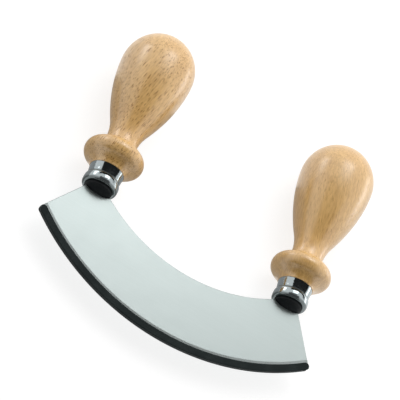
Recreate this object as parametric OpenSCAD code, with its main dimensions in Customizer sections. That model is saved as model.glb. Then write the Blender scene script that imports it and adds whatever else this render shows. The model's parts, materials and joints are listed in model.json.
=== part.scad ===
// Two-handled rocking knife with a single crescent blade.
// It lies on its side, the way it rests on a table: the ring beads and the bulbs of both handles
// touch the table, and the blade floats a little above it. +Z is up, the cutting edge faces -Y,
// the handles point to +Y, and the origin is the middle of the footprint, at table height.
// Each piece is first drawn standing, with the cutting edge down and its lowest point at zero.

/* [Blade] */
// Radius of the curved cutting edge
edge_r = 123; // [112:0.1:140]
// Radius of the curved inner edge, between the handles
inner_r = 88.4; // [82:0.1:98]
// Depth of the blade in the middle, from the cutting edge to the inner edge
blade_depth = 37.5; // [34:0.1:41]
// Thickness of the blade
blade_t = 1.2; // [1:0.1:2]
// Thickness left at the cutting edge itself
edge_t = 0.25; // [0.1:0.05:0.5]
// Width of the ground bevel along the cutting edge
bevel_w = 4.2; // [4:0.1:8]
// Slant of the two end edges, measured from upright
end_slant = 34.1; // [25:0.1:45]
// Reach of the shoulder under each handle, from the handle's axis to the end edge
shoulder_out = 6.1; // [5:0.1:9]
// Reach of the shoulder on the other side, towards the middle of the knife
shoulder_in = 7.4; // [6:0.1:9]
// Height of the shoulders above the lowest point of the cutting edge
shoulder_h = 52.4; // [49:0.1:56]

/* [Tang] */
// Width of the tang inside each handle
tang_w = 6; // [4:0.1:7]
// Thickness of the tang, a little less than the blade's
tang_t = 1; // [0.6:0.1:1]
// Length of the tang above the shoulder
tang_l = 58; // [40:1:75]
// Length of the tang's tapered tip
tang_tip = 8; // [3:0.5:15]
// Width left at the very tip of the tang
tang_tip_w = 2; // [1:0.1:3]

/* [Handles] */
// Distance between the two handle axes at the shoulders
handle_spacing = 112.5; // [104:0.1:120]
// Inward lean of each handle
handle_lean = 1.3; // [0:0.1:3]
// Length of the wood that shows, from the ferrule to the top of the bulb
handle_l = 85.3; // [80:0.1:92]
// Diameter of the bulb at its widest
bulb_d = 38.2; // [36:0.1:42]
// Height of the rounded cap above the bulb's widest place
bulb_cap = 20; // [15:0.1:24]
// How full the bulb's lower flank is: 1 is a straight cone, 3 is almost a cylinder
bulb_fullness = 1.9; // [1.5:0.1:2.8]
// Diameter of the neck between the bulb and the ring bead
neck_d = 16; // [13:0.1:18]
// Distance from the ferrule to the top of the neck
neck_pos = 24; // [19:0.1:28]
// Outer diameter of the ring bead
ring_d = 31.5; // [28:0.1:34]
// Distance from the ferrule to the middle of the ring bead
ring_pos = 9; // [8:0.1:10]
// How far the rounded part of the ring bead stands out
ring_bulge = 4.9; // [4:0.1:6]
// Height of the ring bead
ring_h = 9.8; // [8:0.1:11]
// How far the wood's foot stands out past the ferrule's collar
foot_lip = 0.3; // [0:0.05:0.8]
// Length of the wood's spigot inside the ferrule
spigot_l = 4.8; // [3:0.1:5.4]
// Diameter of the hole drilled in the handle for the tang
tang_hole_d = 7.4; // [7.2:0.1:8.6]
// Extra depth of that hole past the tang's tip
tang_hole_extra = 4; // [1:0.5:10]

/* [Ferrules] */
// Length of the ferrule
ferrule_l = 10.9; // [10.2:0.1:13]
// Outer diameter of the collar where it meets the wood
collar_d = 18.2; // [17.8:0.1:19]
// How much smaller the collar's radius is at its lower end
collar_taper = 0.25; // [0:0.05:0.4]
// Outer diameter of the rounded bead
bead_d = 18.7; // [18:0.1:20]
// Height of the rounded bead
bead_h = 5.3; // [4.5:0.1:6]
// Depth of the groove between collar and bead, below the bead's outside
groove_depth = 0.85; // [0.4:0.05:1.4]
// Width of that groove
groove_w = 0.6; // [0.4:0.1:1]
// Thickness of the ferrule's wall at the groove, its thinnest place
ferrule_wall = 0.65; // [0.4:0.05:1]
// Thickness of the lip that is turned in at the mouth
lip_t = 1; // [0.6:0.1:1.4]
// How far the lip narrows the bore, on each side
lip_in = 0.5; // [0.2:0.05:1]
// Width of the flat rim around the mouth
lip_edge = 0.5; // [0.3:0.05:1]

/* [Bushes] */
// How far the straight side of the bush stands out of the ferrule's mouth
bush_out = 1.1; // [0.6:0.1:2]
// Height of the bush's domed end
bush_dome = 1.9; // [1:0.1:2.6]
// Length of the bush inside the ferrule, above the lip
bush_in = 4; // [2:0.1:4.2]

/* [Edge guard] */
// Thickness of the guard across both its walls
guard_t = 2.6; // [2.2:0.1:3.6]
// Width of the guard, from its lip to its outer curve
guard_w = 3.9; // [3.4:0.1:4.6]
// Thickness of the guard's web, outside the cutting edge
guard_web = 0.9; // [0.6:0.05:1.2]
// Chamfer on the guard's outer corners
guard_chamfer = 0.4; // [0.2:0.05:0.6]
// How far each rounded end stands out past the blade's corner, or stops short of it
guard_over = 0; // [-1:0.1:2]

/* [Fits] */
// Gap between pieces that are seated in one another
fit_gap = 0.05; // [0.02:0.01:0.1]
// Gap on each side between the guard and the blade
guard_gap = 0.1; // [0.05:0.01:0.15]
// Gap between the cutting edge and the bottom of the guard's slot
edge_gap = 0.25; // [0.15:0.05:0.4]

/* [Hidden] */
$fn = 96;
// Overlap used where one solid is cut by another
over = 1;
// Left is -X and right is +X
LEFT = -1;
RIGHT = 1;

// Distances along a handle's axis, measured from the shoulder's corners
mouth_z = bush_out;
wood_z = mouth_z + ferrule_l;
ring_z = wood_z + ring_pos;
neck_z = wood_z + neck_pos;
top_z = wood_z + handle_l;
bulb_z = top_z - bulb_cap;
bush_top_z = mouth_z + lip_t + bush_in;
spigot_z = wood_z - spigot_l;

// Radii of the ferrule's groove, bore and mouth
groove_r = bead_d / 2 - groove_depth;
bore_r = groove_r - ferrule_wall;
mouth_r = bore_r - lip_in;

// Radii of the turned pieces
bulb_r = bulb_d / 2;
neck_r = neck_d / 2;
ring_r = ring_d / 2 - ring_bulge;
foot_r = collar_d / 2 + foot_lip;
bush_r = mouth_r - fit_gap;
bush_body_r = bore_r - fit_gap;
spigot_r = bore_r - fit_gap;

// The bush's dome is part of a sphere, and the blade's shoulder follows it with a small gap
dome_r = (pow(bush_r, 2) + pow(bush_dome, 2)) / (2 * bush_dome);
dome_z = dome_r - bush_dome;

// The guard follows the cutting edge
guard_r = edge_r + edge_gap + guard_web;
lip_r = guard_r - guard_w;
slot_r = edge_r + edge_gap;
// Thickness of the bevelled blade under the guard's lip
lip_blade_t = min(blade_t, edge_t + (blade_t - edge_t) * (edge_r - lip_r) / bevel_w);
slot_w = lip_blade_t + 2 * guard_gap;

// Corners of the blade, as [x, z]: the shoulder under the right handle, then its end edge.
// Between them the shoulder is hollowed out to follow the bush's dome.
corner_out = [
    handle_spacing / 2 + shoulder_out * cos(handle_lean),
    shoulder_h + shoulder_out * sin(handle_lean)
];
corner_in = [
    handle_spacing / 2 - shoulder_in * cos(handle_lean),
    shoulder_h - shoulder_in * sin(handle_lean)
];
end_run = corner_out[1] + over;
end_low = [corner_out[0] + end_run * tan(end_slant), -over];
// Where the end edge meets the cutting edge: a line and a circle about [0, edge_r]
end_dir = [sin(end_slant), -cos(end_slant)];
to_corner = [corner_out[0], corner_out[1] - edge_r];
along = to_corner * end_dir;
end_reach = -along + sqrt(pow(along, 2) - to_corner * to_corner + pow(edge_r, 2));
end_tip = to_corner + end_reach * end_dir;
// Half the angle that the cutting edge spans, and half the guard's, up to its round ends
edge_span = atan2(end_tip[0], -end_tip[1]);
guard_mid_r = guard_r - guard_w / 2;
guard_span = edge_span + (guard_over - guard_w / 2) / guard_mid_r * 180 / PI;

// Steps in the curves of the turned pieces
cap_steps = 15;
flank_steps = 16;
ring_steps = 15;
bead_steps = 12;
// The ring bead's round part runs between these two angles, from its top to its underside
ring_from = 118;
ring_to = -62;
// Where the cove between foot and ring bead is deepest, as a share of its width and height
cove_out = 0.32;
cove_up = 0.5;
// How far up the neck its straight part starts, as a share of the way to the bulb
neck_start = 0.25;

// Outline of the turned wood, as [radius, distance along the axis]
cap_pts = [for (i = [cap_steps:-1:1])
    [bulb_r * cos(90 * i / cap_steps), bulb_z + bulb_cap * sin(90 * i / cap_steps)]];
flank_pts = [for (i = [0:flank_steps]) let (s = i / flank_steps)
    [bulb_r - (bulb_r - neck_r) * pow(s, bulb_fullness), bulb_z - (bulb_z - neck_z) * s]];
ring_pts = [for (i = [0:ring_steps]) let (a = ring_from + (ring_to - ring_from) * i / ring_steps)
    [ring_r + ring_bulge * cos(a), ring_z + ring_h / 2 * sin(a)]];
ring_high_z = ring_pts[0][1];
ring_low = ring_pts[ring_steps];
cove_pt = [foot_r + cove_out * (ring_low[0] - foot_r), wood_z + cove_up * (ring_low[1] - wood_z)];
neck_low_z = ring_high_z + neck_start * (neck_z - ring_high_z);
bulb_pts = concat(cap_pts, flank_pts);
wood_pts = concat(bulb_pts, [[neck_r, neck_low_z]], ring_pts, [cove_pt, [foot_r, wood_z],
    [spigot_r, wood_z], [spigot_r, spigot_z], [0, spigot_z]]);

// How the knife lies: the tilt at which rings and bulbs both touch the table
function drop(pts, t) =
    max([for (p = pts) p[0] * cos(t) - (shoulder_h + p[1] * cos(handle_lean)) * sin(t)]);
function settle(t, n) = n == 0 ? t : settle(
    t + atan((drop(bulb_pts, t) - drop(ring_pts, t)) / ((bulb_z - ring_z) * cos(handle_lean))), n - 1);
lie_tilt = settle(0, 8);
lie_z = max(drop(bulb_pts, lie_tilt), drop(ring_pts, lie_tilt));
// Reach of the bulbs to +Y and of the guard to -Y, which set the middle of the footprint
bulb_reach = max([for (p = bulb_pts) (shoulder_h + p[1] * cos(handle_lean)) * cos(lie_tilt)
    + p[0] * sqrt(pow(sin(lie_tilt), 2) + pow(sin(handle_lean) * cos(lie_tilt), 2))]);
guard_reach = (guard_r - edge_r) * cos(lie_tilt) + (guard_t / 2 - guard_chamfer) * sin(lie_tilt);
lie_y = (guard_reach - bulb_reach) / 2;

// Lays a standing piece down on the table
module lying() {
    translate([0, lie_y, lie_z])
        rotate([lie_tilt - 90, 0, 0])
            children();
}

// Puts a piece on a handle's axis, with zero at the shoulder corners
module on_axis(side) {
    translate([side * handle_spacing / 2, 0, shoulder_h])
        rotate([0, -side * handle_lean, 0])
            children();
}

// Turns a ring or disc about the centre of the cutting edge's curve, in the plane of the blade
module about_edge_centre() {
    translate([0, 0, edge_r])
        rotate([90, 0, 0])
            rotate_extrude($fn = 240)
                children();
}

// Extrudes an outline, drawn as [x, z], to both sides of the blade's plane
module in_blade_plane(thickness) {
    translate([0, thickness / 2, 0])
        rotate([90, 0, 0])
            linear_extrude(height = thickness)
                children();
}

// Full disc with the cutting bevel ground on both sides
module bevelled_disc() {
    about_edge_centre()
        polygon([
            [0, -blade_t / 2],
            [edge_r - bevel_w, -blade_t / 2],
            [edge_r, -edge_t / 2],
            [edge_r, edge_t / 2],
            [edge_r - bevel_w, blade_t / 2],
            [0, blade_t / 2]
        ]);
}

// Outline that is cut out of the disc: end edges, shoulders and inner edge
module blade_outline() {
    difference() {
        polygon([
            [-end_low[0], end_low[1]],
            end_low,
            corner_out,
            corner_in,
            [-corner_in[0], corner_in[1]],
            [-corner_out[0], corner_out[1]]
        ]);
        translate([0, blade_depth + inner_r])
            circle(r = inner_r, $fn = 240);
        shoulder_hollow(LEFT);
        shoulder_hollow(RIGHT);
    }
}

// Tang of one handle: a flat bar with a tapered tip
module tang(side) {
    on_axis(side)
        in_blade_plane(tang_t)
            polygon([
                [-tang_w / 2, -bush_dome - over],
                [tang_w / 2, -bush_dome - over],
                [tang_w / 2, tang_l - tang_tip],
                [tang_tip_w / 2, tang_l],
                [-tang_tip_w / 2, tang_l],
                [-tang_w / 2, tang_l - tang_tip]
            ]);
}

// Hollow in the shoulder's outline that follows the bush's dome
module shoulder_hollow(side) {
    translate([side * handle_spacing / 2, shoulder_h])
        rotate([0, 0, side * handle_lean])
            translate([0, dome_z])
                circle(r = dome_r + fit_gap, $fn = 180);
}

// Crescent blade of sheet steel, with both tangs in one piece with it
module blade() {
    color("lightgray")
        lying() {
            intersection() {
                bevelled_disc();
                in_blade_plane(blade_t + 2 * over)
                    blade_outline();
            }
            tang(LEFT);
            tang(RIGHT);
        }
}

// Turned handle: bulb, neck, ring bead and spigot, drilled for the tang
module handle(side) {
    color("burlywood")
        lying()
            on_axis(side)
                difference() {
                    rotate_extrude()
                        polygon(concat([[0, top_z]], wood_pts));
                    translate([0, 0, spigot_z - over])
                        cylinder(d = tang_hole_d, h = tang_l + tang_hole_extra - spigot_z + over, $fn = 48);
                }
}

// Plated ferrule: tapered collar, groove, rounded bead and turned-in lip
module ferrule(side) {
    bead_r = bead_d / 2;
    bead_mid_z = mouth_z + bead_h / 2;
    bead_bulge = bead_h / 2;
    groove_z = mouth_z + bead_h;
    collar_z = groove_z + groove_w;
    bead_top = (groove_r - bead_r + bead_bulge) / bead_bulge;
    bead_low = (mouth_r + lip_edge - bead_r + bead_bulge) / bead_bulge;
    from = -acos(min(1, max(-1, bead_low)));
    to = acos(min(1, max(-1, bead_top)));
    bead_pts = [for (i = [0:bead_steps]) let (a = from + (to - from) * i / bead_steps)
        [bead_r - bead_bulge + bead_bulge * cos(a), bead_mid_z + bead_bulge * sin(a)]];
    color("silver")
        lying()
            on_axis(side)
                rotate_extrude()
                    polygon(concat(
                        [[mouth_r, mouth_z], [mouth_r + lip_edge, mouth_z]],
                        bead_pts,
                        [
                            [groove_r, groove_z],
                            [groove_r, collar_z - groove_w / 2],
                            [collar_d / 2 - collar_taper, collar_z],
                            [collar_d / 2, wood_z],
                            [bore_r, wood_z],
                            [bore_r, mouth_z + lip_t],
                            [mouth_r, mouth_z + lip_t]
                        ]));
}

// Black bush that closes the ferrule's mouth, with a domed end and a slot for the tang
module bush(side) {
    color("black")
        lying()
            on_axis(side)
                difference() {
                    union() {
                        intersection() {
                            translate([0, 0, dome_z])
                                sphere(r = dome_r, $fn = 180);
                            translate([0, 0, -bush_dome])
                                cylinder(r = bush_r, h = bush_dome);
                        }
                        cylinder(r = bush_r, h = mouth_z + lip_t + fit_gap);
                        translate([0, 0, mouth_z + lip_t + fit_gap])
                            cylinder(r = bush_body_r, h = bush_in - fit_gap);
                    }
                    in_blade_plane(tang_t + 2 * fit_gap)
                        translate([-tang_w / 2 - fit_gap, -bush_dome - over])
                            square([tang_w + 2 * fit_gap, bush_top_z + bush_dome + 2 * over]);
                }
}

// Guard of black plastic: a channel pushed over the cutting edge, with rounded open ends
module edge_guard() {
    color("dimgray")
        lying()
            intersection() {
                about_edge_centre()
                    polygon([
                        [lip_r, -guard_t / 2],
                        [guard_r - guard_chamfer, -guard_t / 2],
                        [guard_r, -guard_t / 2 + guard_chamfer],
                        [guard_r, guard_t / 2 - guard_chamfer],
                        [guard_r - guard_chamfer, guard_t / 2],
                        [lip_r, guard_t / 2],
                        [lip_r, slot_w / 2],
                        [slot_r, slot_w / 2],
                        [slot_r, -slot_w / 2],
                        [lip_r, -slot_w / 2]
                    ]);
                union() {
                    in_blade_plane(guard_t + 2 * over)
                        guard_sector();
                    for (side = [LEFT, RIGHT])
                        translate([0, 0, edge_r])
                            rotate([0, -side * guard_span, 0])
                                translate([0, 0, -guard_mid_r])
                                    rotate([90, 0, 0])
                                        cylinder(d = guard_w, h = guard_t + 2 * over, center = true);
                }
            }
}

// Wedge between the middles of the guard's two rounded ends
module guard_sector() {
    reach = guard_r / cos(guard_span / 2) + over;
    polygon([
        [0, edge_r],
        [-reach * sin(guard_span), edge_r - reach * cos(guard_span)],
        [-reach * sin(guard_span / 2), edge_r - reach * cos(guard_span / 2)],
        [0, edge_r - reach],
        [reach * sin(guard_span / 2), edge_r - reach * cos(guard_span / 2)],
        [reach * sin(guard_span), edge_r - reach * cos(guard_span)]
    ]);
}

module left_handle() { handle(LEFT); }
module right_handle() { handle(RIGHT); }
module left_ferrule() { ferrule(LEFT); }
module right_ferrule() { ferrule(RIGHT); }
module left_bush() { bush(LEFT); }
module right_bush() { bush(RIGHT); }

blade();
left_handle();
right_handle();
left_ferrule();
right_ferrule();
left_bush();
right_bush();
edge_guard();
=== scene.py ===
"""Looks of a two-handled rocking knife, built around its solids.

Each piece is first drawn standing, with the cutting edge down and its lowest point at zero, and is
then laid on its side, the way the knife rests on a table. Lengths are in metres.
"""

import json
import math

import bmesh
import bpy
from bpy.props import FloatProperty, FloatVectorProperty, PointerProperty
from mathutils import Matrix, Vector


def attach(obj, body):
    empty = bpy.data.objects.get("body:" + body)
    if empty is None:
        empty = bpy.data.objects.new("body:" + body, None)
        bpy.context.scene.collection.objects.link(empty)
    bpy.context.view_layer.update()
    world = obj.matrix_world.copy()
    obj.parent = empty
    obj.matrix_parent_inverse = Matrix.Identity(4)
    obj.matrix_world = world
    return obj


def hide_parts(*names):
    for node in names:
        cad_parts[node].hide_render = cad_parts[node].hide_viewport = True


bl_info = {
    "name": "Rocking Knife Looks",
    "version": (1, 0, 0),
    "blender": (4, 5, 0),
    "location": "3D View > Sidebar > Rocking Knife",
    "description": "Steel blade, turned beech handles, plated ferrules, bushes and edge guard",
    "category": "Object",
}

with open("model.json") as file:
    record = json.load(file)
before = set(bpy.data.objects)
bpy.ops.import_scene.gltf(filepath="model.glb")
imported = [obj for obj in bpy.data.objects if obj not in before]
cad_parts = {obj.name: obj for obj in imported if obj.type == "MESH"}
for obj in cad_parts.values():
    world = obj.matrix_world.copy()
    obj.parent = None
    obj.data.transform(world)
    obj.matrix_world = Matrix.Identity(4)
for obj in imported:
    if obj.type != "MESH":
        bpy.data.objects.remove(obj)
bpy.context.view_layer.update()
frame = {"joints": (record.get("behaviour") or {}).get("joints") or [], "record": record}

MM = 0.001
LEFT = -1
RIGHT = 1
SIDES = {"left": LEFT, "right": RIGHT}

# The knife's flat face points along FACE, and the guard is pulled off along PULL.
MOUNT = frame["record"]["mounts"][0]
FACE = Vector(MOUNT["axis"])
PULL = Vector(frame["joints"][0]["axis"])
FACE_POINT = Vector(MOUNT["pos_m"])
# Height of that point of the flat face above the cutting edge, on the standing knife
FACE_HEIGHT = 19 * MM


def length(name, about, value):
    """A size of the knife, given in millimetres."""
    return FloatProperty(
        name=name, description=about, default=value * MM, min=0, unit="LENGTH", precision=5
    )


def angle(name, about, degrees):
    """An angle, given in degrees."""
    return FloatProperty(name=name, description=about, default=math.radians(degrees), subtype="ANGLE")


def colour(name, about, value):
    """A linear colour."""
    return FloatVectorProperty(
        name=name, description=about, default=value, size=3, min=0, max=1, subtype="COLOR"
    )


def number(name, about, value):
    """A plain number."""
    return FloatProperty(name=name, description=about, default=value, precision=4)


class BladeSettings(bpy.types.PropertyGroup):
    """Sizes and colours of the steel blade."""

    edge_radius: length("Edge radius", "Radius of the curved cutting edge", 123)
    inner_radius: length("Inner radius", "Radius of the inner edge, between the handles", 88.4)
    depth: length("Depth", "From the cutting edge to the inner edge, in the middle", 37.5)
    thickness: length("Thickness", "Thickness of the sheet steel", 1.2)
    edge_thickness: length("Edge thickness", "Steel left at the cutting edge", 0.25)
    bevel_width: length("Bevel width", "Width of the ground bevel", 4.2)
    end_slant: angle("End slant", "Slant of the end edges, measured from upright", 34.1)
    shoulder_out: length("Outer shoulder", "From the handle's axis to the end edge", 6.1)
    shoulder_in: length("Inner shoulder", "From the handle's axis to the inner edge", 7.4)
    shoulder_height: length("Shoulder height", "Height of the shoulders", 52.4)
    tang_width: length("Tang width", "Width of each tang", 6)
    tang_thickness: length("Tang thickness", "Thickness of each tang", 1)
    tang_length: length("Tang length", "Length of each tang above the shoulder", 58)
    tang_tip: length("Tang tip", "Length of the tang's tapered tip", 8)
    tang_tip_width: length("Tang tip width", "Width left at the tip of the tang", 2)
    burr: length("Corner radius", "Rounding of the blade's corners", 0.3)
    steel: colour("Steel", "Colour of the satin steel", (0.485, 0.545, 0.535))
    ground: colour("Ground steel", "Colour of the freshly ground bevel", (0.53, 0.585, 0.575))


class HandleSettings(bpy.types.PropertyGroup):
    """Sizes and colours of the turned handles."""

    spacing: length("Spacing", "Distance between the handle axes at the shoulders", 112.5)
    lean: angle("Lean", "Inward lean of each handle", 1.3)
    wood_length: length("Length", "From the ferrule to the top of the bulb", 85.27)
    bulb_diameter: length("Bulb diameter", "Diameter of the bulb at its widest", 38.16)
    bulb_cap: length("Bulb cap", "Height of the cap above the widest place", 20)
    bulb_fullness: number("Bulb fullness", "Fullness of the bulb's lower flank", 1.9)
    neck_diameter: length("Neck diameter", "Diameter that the bulb's flank runs down to", 16)
    neck_place: length("Neck place", "From the ferrule to the foot of that flank", 24)
    ring_diameter: length("Ring diameter", "Outer diameter of the ring bead", 31.49)
    ring_place: length("Ring place", "From the ferrule to the middle of the ring bead", 9)
    ring_bulge: length("Ring bulge", "How far the ring bead's round part stands out", 4.9)
    ring_height: length("Ring height", "Height of the ring bead", 9.8)
    foot_lip: length("Foot lip", "How far the foot stands out past the collar", 0.3)
    foot_round: length("Foot rounding", "Rounding of the foot's corner", 0.35)
    spigot: length("Spigot", "Length of wood inside the ferrule", 4.8)
    tang_hole: length("Tang hole", "Diameter of the hole for the tang", 7.4)
    tang_hole_extra: length("Tang hole depth", "Depth of the hole past the tang's tip", 4)
    light: colour("Light wood", "Colour of the early wood", (0.875, 0.53, 0.162))
    dark: colour("Dark wood", "Colour of the late wood", (0.605, 0.32, 0.063))
    fleck: colour("Flecks", "Colour of the short flecks along the grain", (0.25, 0.09, 0.014))


class FerruleSettings(bpy.types.PropertyGroup):
    """Sizes and colour of the plated ferrules."""

    total: length("Length", "Length of the ferrule", 10.9)
    collar_diameter: length("Collar diameter", "Diameter of the collar at the wood", 18.2)
    collar_taper: length("Collar taper", "Loss of radius down the collar", 0.25)
    bead_diameter: length("Bead diameter", "Diameter of the rounded bead", 18.7)
    bead_height: length("Bead height", "Height of the rounded bead", 5.3)
    bead_squareness: number("Bead squareness", "2 gives a round bead, and more a flatter one", 2.5)
    groove_depth: length("Groove depth", "Depth of the groove below the bead", 0.85)
    groove_width: length("Groove width", "Width of the groove", 0.6)
    flare_step: length("Flare step", "Step from the groove to the foot of the flare", 0.06)
    wall: length("Wall", "Wall at the groove, its thinnest place", 0.65)
    lip_thickness: length("Lip thickness", "Thickness of the turned-in lip", 1)
    lip_in: length("Lip reach", "How far the lip narrows the bore", 0.5)
    lip_edge: length("Lip rim", "Width of the rim around the mouth", 0.5)
    softening: length("Corner radius", "Rounding of the pressed corners", 0.12)
    plate: colour("Plate", "Colour of the bright plate", (0.42, 0.47, 0.48))


class BushSettings(bpy.types.PropertyGroup):
    """Sizes and colour of the black bushes."""

    out: length("Rise", "How far the straight side stands out of the ferrule", 1.1)
    dome: length("Dome", "Height of the domed end", 1.9)
    inside: length("Depth", "Length inside the ferrule, above the lip", 4)
    softening: length("Corner radius", "Rounding of the moulded corners", 0.1)
    fit: length("Fit", "Gap between pieces that are seated in one another", 0.05)
    black: colour("Black", "Colour of the moulded bush", (0.0075, 0.009, 0.0105))


class GuardSettings(bpy.types.PropertyGroup):
    """Sizes and colour of the edge guard."""

    thickness: length("Thickness", "Thickness across both walls", 2.6)
    width: length("Width", "From the lip to the outer curve", 3.9)
    web: length("Web", "Thickness of plastic outside the cutting edge", 0.87)
    chamfer: length("Corner", "Rounding of the outer corners", 0.4)
    slot_gap: length("Slot gap", "Gap between the walls and the blade, on each side", 0.1)
    edge_gap: length("Edge gap", "Gap outside the cutting edge", 0.25)
    black: colour("Black", "Colour of the plastic", (0.009, 0.0145, 0.0145))


class StageSettings(bpy.types.PropertyGroup):
    """The floor and the camera."""

    floor: colour("Floor", "Colour of the table", (0.3, 0.3, 0.3))
    lens: number("Lens", "Focal length in millimetres", 292.08)


def knife(context):
    """All the settings of the scene."""
    return context.scene.rocking_knife


# Places on the knife


def lying():
    """Turns what is drawn standing onto its side, in its place on the table."""
    turn = Matrix((Vector((1, 0, 0)), -FACE, -PULL)).transposed()
    blade = knife(bpy.context).blade
    face_point = turn @ Vector((0, -blade.thickness / 2, FACE_HEIGHT))
    return Matrix.Translation(FACE_POINT - face_point) @ turn.to_4x4()


def on_axis(side):
    """Puts a piece on a handle's axis, with zero at the shoulder's corners."""
    settings = knife(bpy.context)
    place = Vector((side * settings.handle.spacing / 2, 0, settings.blade.shoulder_height))
    lean = Matrix.Rotation(-side * settings.handle.lean, 4, "Y")
    return lying() @ Matrix.Translation(place) @ lean


def shoulder_frame(settings, side):
    """Turns (outward, upward) places about a handle's axis into (x, z) on the standing blade."""
    lean = settings.handle.lean
    start = Vector((settings.handle.spacing / 2, settings.blade.shoulder_height))
    out = Vector((math.cos(lean), math.sin(lean)))
    up = Vector((-math.sin(lean), math.cos(lean)))

    def place(u, w):
        point = start + out * u + up * w
        return (side * point[0], point[1])

    return place


def end_edge(settings):
    """The right end edge of the blade: its upper corner and its direction, as (x, z)."""
    blade = settings.blade
    corner = Vector(shoulder_frame(settings, RIGHT)(blade.shoulder_out, 0))
    return corner, Vector((math.sin(blade.end_slant), -math.cos(blade.end_slant)))


def half_angle(settings, radius):
    """Half the angle that the blade spans at a radius about the cutting edge's centre."""
    edge_radius = settings.blade.edge_radius
    tip = meet_circle(*end_edge(settings), (0, edge_radius), radius)
    return math.atan2(tip[0], edge_radius - tip[1])


def bore_radius(ferrule):
    """Inner radius of a ferrule above its lip."""
    return ferrule.bead_diameter / 2 - ferrule.groove_depth - ferrule.wall


def bush_radii(settings):
    """Radius of a bush's straight side, and of the ball that its domed end is part of."""
    bush_r = bore_radius(settings.ferrule) - settings.ferrule.lip_in - settings.bush.fit
    return bush_r, (bush_r**2 + settings.bush.dome**2) / (2 * settings.bush.dome)


# Curves


def arc(centre, radius, start, end, steps, squash=1):
    """Points of an arc as pairs, with angles in radians; squash scales the second value."""
    angles = [start + (end - start) * i / steps for i in range(steps + 1)]
    return [
        (centre[0] + radius * math.cos(a), centre[1] + radius * squash * math.sin(a)) for a in angles
    ]


def meet_circle(start, run, centre, radius, nearest=False):
    """Where a line from a point meets a circle: its far crossing, or the nearest one."""
    to_start = Vector(start) - Vector(centre)
    along = -to_start.dot(run)
    half = math.sqrt(along**2 - to_start.length_squared + radius**2)
    crossings = (along - half, along + half)
    reach = min(crossings, key=abs) if nearest else max(crossings)
    return tuple(Vector(start) + run * reach)


def bezier(start, pull_start, pull_end, end, steps):
    """Points along a cubic curve between two points, without the first and the last."""
    points = []
    for i in range(1, steps):
        t = i / steps
        shares = ((1 - t) ** 3, 3 * t * (1 - t) ** 2, 3 * t**2 * (1 - t), t**3)
        places = (start, pull_start, pull_end, end)
        points.append(tuple(sum((Vector(p) * s for p, s in zip(places, shares)), Vector((0, 0)))))
    return points


def heading(start, end):
    """Direction from one place of an outline to another."""
    return (Vector(end) - Vector(start)).normalized()


def softened(outline, corners, radius, segments=3):
    """Rounds some corners of an outline of (radius, height) pairs, given by their places in it."""
    points = []
    for i, point in enumerate(outline):
        if i not in corners:
            points.append(point)
            continue
        here = Vector(point)
        before = here + heading(here, outline[i - 1]) * radius
        after = here + heading(here, outline[(i + 1) % len(outline)]) * radius
        for k in range(segments + 1):
            t = k / segments
            bend = before * (1 - t) ** 2 + here * (2 * t * (1 - t)) + after * t**2
            points.append(tuple(bend))
    return points


# Making meshes


# How near two places have to be to count as one: while a shape is made, and once it is done
NEAR = 1e-6
SAME = 1e-7


def placed(name, data):
    """Puts an object that holds some data into the scene."""
    thing = bpy.data.objects.new(name, data)
    bpy.context.scene.collection.objects.link(thing)
    return thing


def meshed(bm, name):
    """Puts a bmesh into the scene as a named object."""
    mesh = bpy.data.meshes.new(name)
    bm.to_mesh(mesh)
    bm.free()
    return placed(name, mesh)


def finished(bm, name, body, node, slot, material, smooth):
    """Makes a closed bmesh into a named piece that stands for a solid and moves with its body.

    Edges that turn by more than smooth, in degrees, stay sharp.
    """
    bmesh.ops.remove_doubles(bm, verts=bm.verts, dist=SAME)
    bmesh.ops.recalc_face_normals(bm, faces=bm.faces)
    open_edges = [e for e in bm.edges if len(e.link_faces) != 2]
    if open_edges:
        raise RuntimeError(f"{name} has {len(open_edges)} edges that don't join two faces")
    piece = meshed(bm, name)
    piece.data.shade_smooth()
    piece.data.set_sharp_from_angle(angle=math.radians(smooth))
    piece.data.materials.append(material)
    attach(piece, body)
    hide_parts(node)


def spun(bm, geom, axis, angle, steps, close):
    """Spins some geometry about an axis through zero; a full turn is closed on itself."""
    bmesh.ops.spin(
        bm,
        geom=geom,
        cent=(0, 0, 0),
        axis=axis,
        dvec=(0, 0, 0),
        angle=angle,
        steps=steps,
        use_merge=close,
        use_normal_flip=False,
        use_duplicate=False,
    )


def turned(outline, steps):
    """Spins an outline, as (radius, height) pairs, once round the upright axis.

    An outline whose ends lie on the axis stays open there, and any other is closed on itself.
    """
    bm = bmesh.new()
    verts = [bm.verts.new((r, 0, h)) for r, h in outline]
    pairs = list(zip(verts, verts[1:]))
    if outline[0][0] > 0:
        pairs.append((verts[-1], verts[0]))
    edges = [bm.edges.new(pair) for pair in pairs]
    spun(bm, verts + edges, (0, 0, 1), math.tau, steps, close=True)
    bmesh.ops.remove_doubles(bm, verts=bm.verts, dist=NEAR)
    return bm


def turned_pair(outline, part, ending, slot, make_material, steps, smooth, cut=None):
    """Turns a left and a right piece of one kind, each on its handle's axis with its own finish."""
    for name, side in SIDES.items():
        bm = turned(outline, steps)
        if cut:
            bm = cut(bm)
        bm.transform(on_axis(side))
        node = f"{name}_{part}"
        finished(bm, f"{node}_{ending}", "knife", node, slot, make_material(name, side), smooth)


# Making materials

# Shades that the finishes mix in, as linear colours
DULL_STEEL = (0.42, 0.48, 0.47, 1)
BRIGHT_STEEL = (0.6, 0.66, 0.65, 1)
# Painted shade for the blade's cut sides and rounded corners
PAINTED_EDGE_SHADE = (0.2, 0.225, 0.225, 1)
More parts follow.
